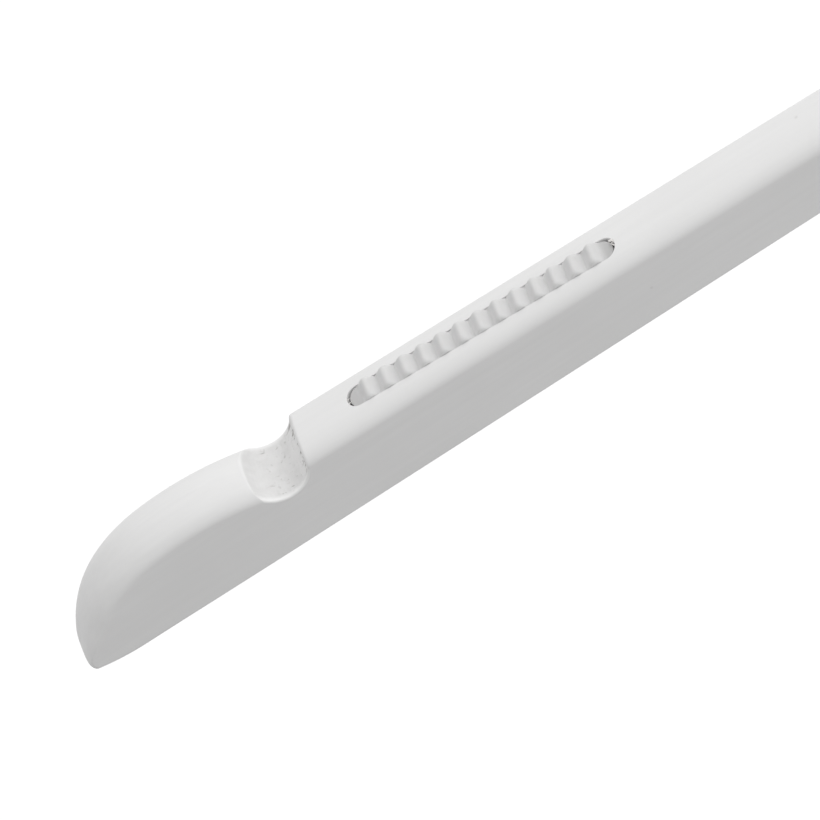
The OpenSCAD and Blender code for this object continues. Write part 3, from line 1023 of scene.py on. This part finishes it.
def bent_wire(name, finish):
    """The wire's middle line by its length: stem, bend and loop, with a section swept along it."""
    sizes = {"Wire radius": wire_radius, "Stem low": stem_low, "Bend height": bend_z,
             "Bend radius": stem_bend, "Bend turn": bend_turn, "Loop radius": loop_radius,
             "Loop height": -hook_inside, "Loop turn": bend_turn + hook_end, "Rings": wire_rings}
    tree, given = tree_with_sizes(name, sizes)
    # Lengths along the wire to the end of the stem, of the bend, of the loop and of its round tip.
    stem = given["Bend height"] - given["Stem low"]
    bent = stem + given["Bend radius"] * given["Bend turn"]
    looped = bent + given["Loop radius"] * given["Loop turn"]
    whole = looped + given["Wire radius"]
    passed = add(tree, "GeometryNodeInputIndex") * (whole / (given["Rings"] - 1.0))
    past_stem = (passed - stem).do("MAXIMUM", 0.0)
    bend_angle = (past_stem / given["Bend radius"]).do("MINIMUM", given["Bend turn"])
    bend_x = given["Bend radius"] * (1.0 - bend_angle.do("COSINE"))
    stem_height = given["Stem low"] + passed.do("MINIMUM", stem)
    bend_height = stem_height + given["Bend radius"] * bend_angle.do("SINE")
    loop_angle = (passed - bent) / given["Loop radius"] - given["Bend turn"]
    loop_x = given["Loop radius"] * loop_angle.do("COSINE")
    loop_height = given["Loop height"] + given["Loop radius"] * loop_angle.do("SINE")
    on_loop = passed.do("GREATER_THAN", bent)
    x = between_values(on_loop, 0, 1, bend_x, loop_x)
    height = between_values(on_loop, 0, 1, bend_height, loop_height)
    # The section closes over a ground tip and is filed a little thinner at the foot of the stem.
    left_over = (whole - passed) / given["Wire radius"]
    ground = left_over.do("MAXIMUM", tip_least).do("MINIMUM", 1.0)
    round_tip = (ground * (2.0 - ground)).do("SQRT")
    filed = between_values(passed, 0.0, stem_filed_long, stem_filed_share, 1)
    radius = given["Wire radius"] * (round_tip * filed)
    line = add(tree, "GeometryNodeMeshLine", {"Count": given["Rings"]})
    line = add(tree, "GeometryNodeMeshToCurve", {"Mesh": line})
    spot = add(tree, "ShaderNodeCombineXYZ", {0: x, 2: height})
    line = add(tree, "GeometryNodeSetPosition", {"Geometry": line, "Position": spot})
    section = add(tree, "GeometryNodeCurvePrimitiveCircle", {"Resolution": wire_sides, "Radius": 1.0})
    wire = add(tree, "GeometryNodeCurveToMesh",
               {"Curve": line, "Profile Curve": section, "Scale": radius, "Fill Caps": True})
    return grown(name, tree, sizes, finish, wire)


hook = finished(bent_wire("hook_wire", plated))
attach(hook, "hook")
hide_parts("hook")


# The hook collar is a small ring turned from steel and crimped on the stem. It rests just above the
# ferrule and keeps the hook from sinking into the neck.
collar_hole = 0.00177
collar_radius = 0.00355
collar_gap = 0.0003
collar_high = 0.004
collar_low = flange_top + collar_gap
collar_top = collar_low + collar_high
low_chamfer = 0.0006
top_chamfer = 0.0012
collar_edge = 0.0002

collar = turned_piece("hook_collar_ring", [(collar_hole, collar_low),
                                           (collar_radius - low_chamfer, collar_low),
                                           (collar_radius, collar_low + low_chamfer),
                                           (collar_radius, collar_top - top_chamfer),
                                           (collar_radius - top_chamfer, collar_top),
                                           (collar_hole, collar_top)], turned_sides)
collar.data.materials.append(plated)
finished(broken_edges(collar, collar_edge))
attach(collar, "hook")
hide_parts("hook_collar")


# The lock nut is cut from hexagon bar, chamfered on both faces and zinc plated. It is turned up the
# threaded end of the stem, inside the counterbore, and carries the hanger's load.
nut_wide = 0.006
nut_high = 0.0028
nut_lift = 0.0008
nut_low = stem_low + nut_lift
nut_top = nut_low + nut_high
nut_face = 0.00285
nut_corner = nut_wide / math.sqrt(3)
nut_chamfer = (nut_corner - nut_face) * math.tan(math.radians(30))
nut_crease = math.radians(20)
thread_chamfer = 0.0002
thread_mouth = wire_radius + thread_chamfer
bar_sides = 6
bar_over = 0.001

nut = turned_piece("lock_nut_hexagon", [(0, nut_low - bar_over), (nut_corner, nut_low - bar_over),
                                        (nut_corner, nut_top + bar_over), (0, nut_top + bar_over)], bar_sides)
turned_faces = turned_piece("turned_faces", [(wire_radius, nut_low + thread_chamfer), (thread_mouth, nut_low),
                                             (nut_face, nut_low), (nut_corner, nut_low + nut_chamfer),
                                             (nut_corner, nut_top - nut_chamfer), (nut_face, nut_top),
                                             (thread_mouth, nut_top),
                                             (wire_radius, nut_top - thread_chamfer)], turned_sides)
nut.data.materials.append(zinc)
cut(nut, "INTERSECT", turned_faces)
finished(nut, nut_crease)
bpy.data.objects.remove(turned_faces)
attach(nut, "hook")
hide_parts("lock_nut")


# The floor is a wide pale sheet well below the hanger. The camera sees it and the room almost white, but
# less of their light falls on the hanger. Two soft lamps add the rest.
floor_z = -0.62
floor_half = 20
floor_dark = grey(0.32)
floor_light = grey(0.34)
floor_clouds_per_metre = 2
floor_glow = 0.74
room_light = 0.70


def seen_directly(tree):
    """1 for rays from the camera, also by way of mirrors or glass, and 0 for rays that only bring light."""
    camera_ray, mirrored_ray, passed_ray = (add(tree, "ShaderNodeLightPath", output=ray) for ray in
                                            ("Is Camera Ray", "Is Glossy Ray", "Is Transmission Ray"))
    return camera_ray.do("MAXIMUM", mirrored_ray.do("MAXIMUM", passed_ray))


floor_corners = ((-1, -1), (1, -1), (1, 1), (-1, 1))
floor = mesh_object("floor", [(x * floor_half, y * floor_half, floor_z) for x, y in floor_corners],
                    [(0, 1, 2, 3)])
floor_finish, shader, coordinates = new_finish("pale_floor")
cloud = clouds(coordinates, floor_clouds_per_metre, layers=2)
feed(shader, {"Base Color": mixed(cloud, floor_dark, floor_light), "Roughness": 0.9,
              "Specular IOR Level": 0.0, "Emission Color": grey(1),
              "Emission Strength": seen_directly(coordinates.tree) * floor_glow})
floor.data.materials.append(floor_finish)

room = bpy.data.worlds.new("room")
bpy.context.scene.world = room
room.use_nodes = True
brightness = between_values(seen_directly(room.node_tree), 0, 1, room_light, 1)
feed(room.node_tree.nodes["Background"], {"Color": grey(1), "Strength": brightness})

arm_middle = Vector((-0.16, 0, -0.18))
for name, size, energy, location in (("top_lamp", 1.4, 8.0, Vector((0.1, 0.7, 1.0))),
                                     ("side_lamp", 0.6, 1.1, Vector((0.35, -0.6, 0.1)))):
    lamp_data = bpy.data.lights.new(name, "AREA")
    lamp_data.shape = "SQUARE"
    lamp_data.size = size
    lamp_data.energy = energy
    lamp = bpy.data.objects.new(name, lamp_data)
    lamp.location = location
    lamp.rotation_euler = (arm_middle - location).to_track_quat("-Z", "Y").to_euler()
    bpy.context.scene.collection.objects.link(lamp)


# The camera stands high in front of the left arm, a little to its left, and is tipped to one side.
view_azimuth = math.radians(-7.3)
view_elevation = math.radians(46.1)
view_roll = math.radians(-11.77)
view_distance = 2.5
view_wide = 0.130
view_point = Vector((-0.16337, -0.00563, -0.18749))
toward = Vector((math.sin(view_azimuth) * math.cos(view_elevation),
                 -math.cos(view_azimuth) * math.cos(view_elevation), math.sin(view_elevation)))
camera_data = bpy.data.cameras.new("camera")
camera_data.lens = camera_data.sensor_width * view_distance / view_wide
camera = bpy.data.objects.new("camera", camera_data)
facing = (-toward).to_track_quat("-Z", "Y").to_matrix().to_4x4()
camera.matrix_world = (Matrix.Translation(view_point + view_distance * toward)
                       @ facing @ Matrix.Rotation(view_roll, 4, "Z"))
bpy.context.scene.collection.objects.link(camera)
bpy.context.scene.camera = camera
bpy.context.scene.view_settings.view_transform = "Standard"
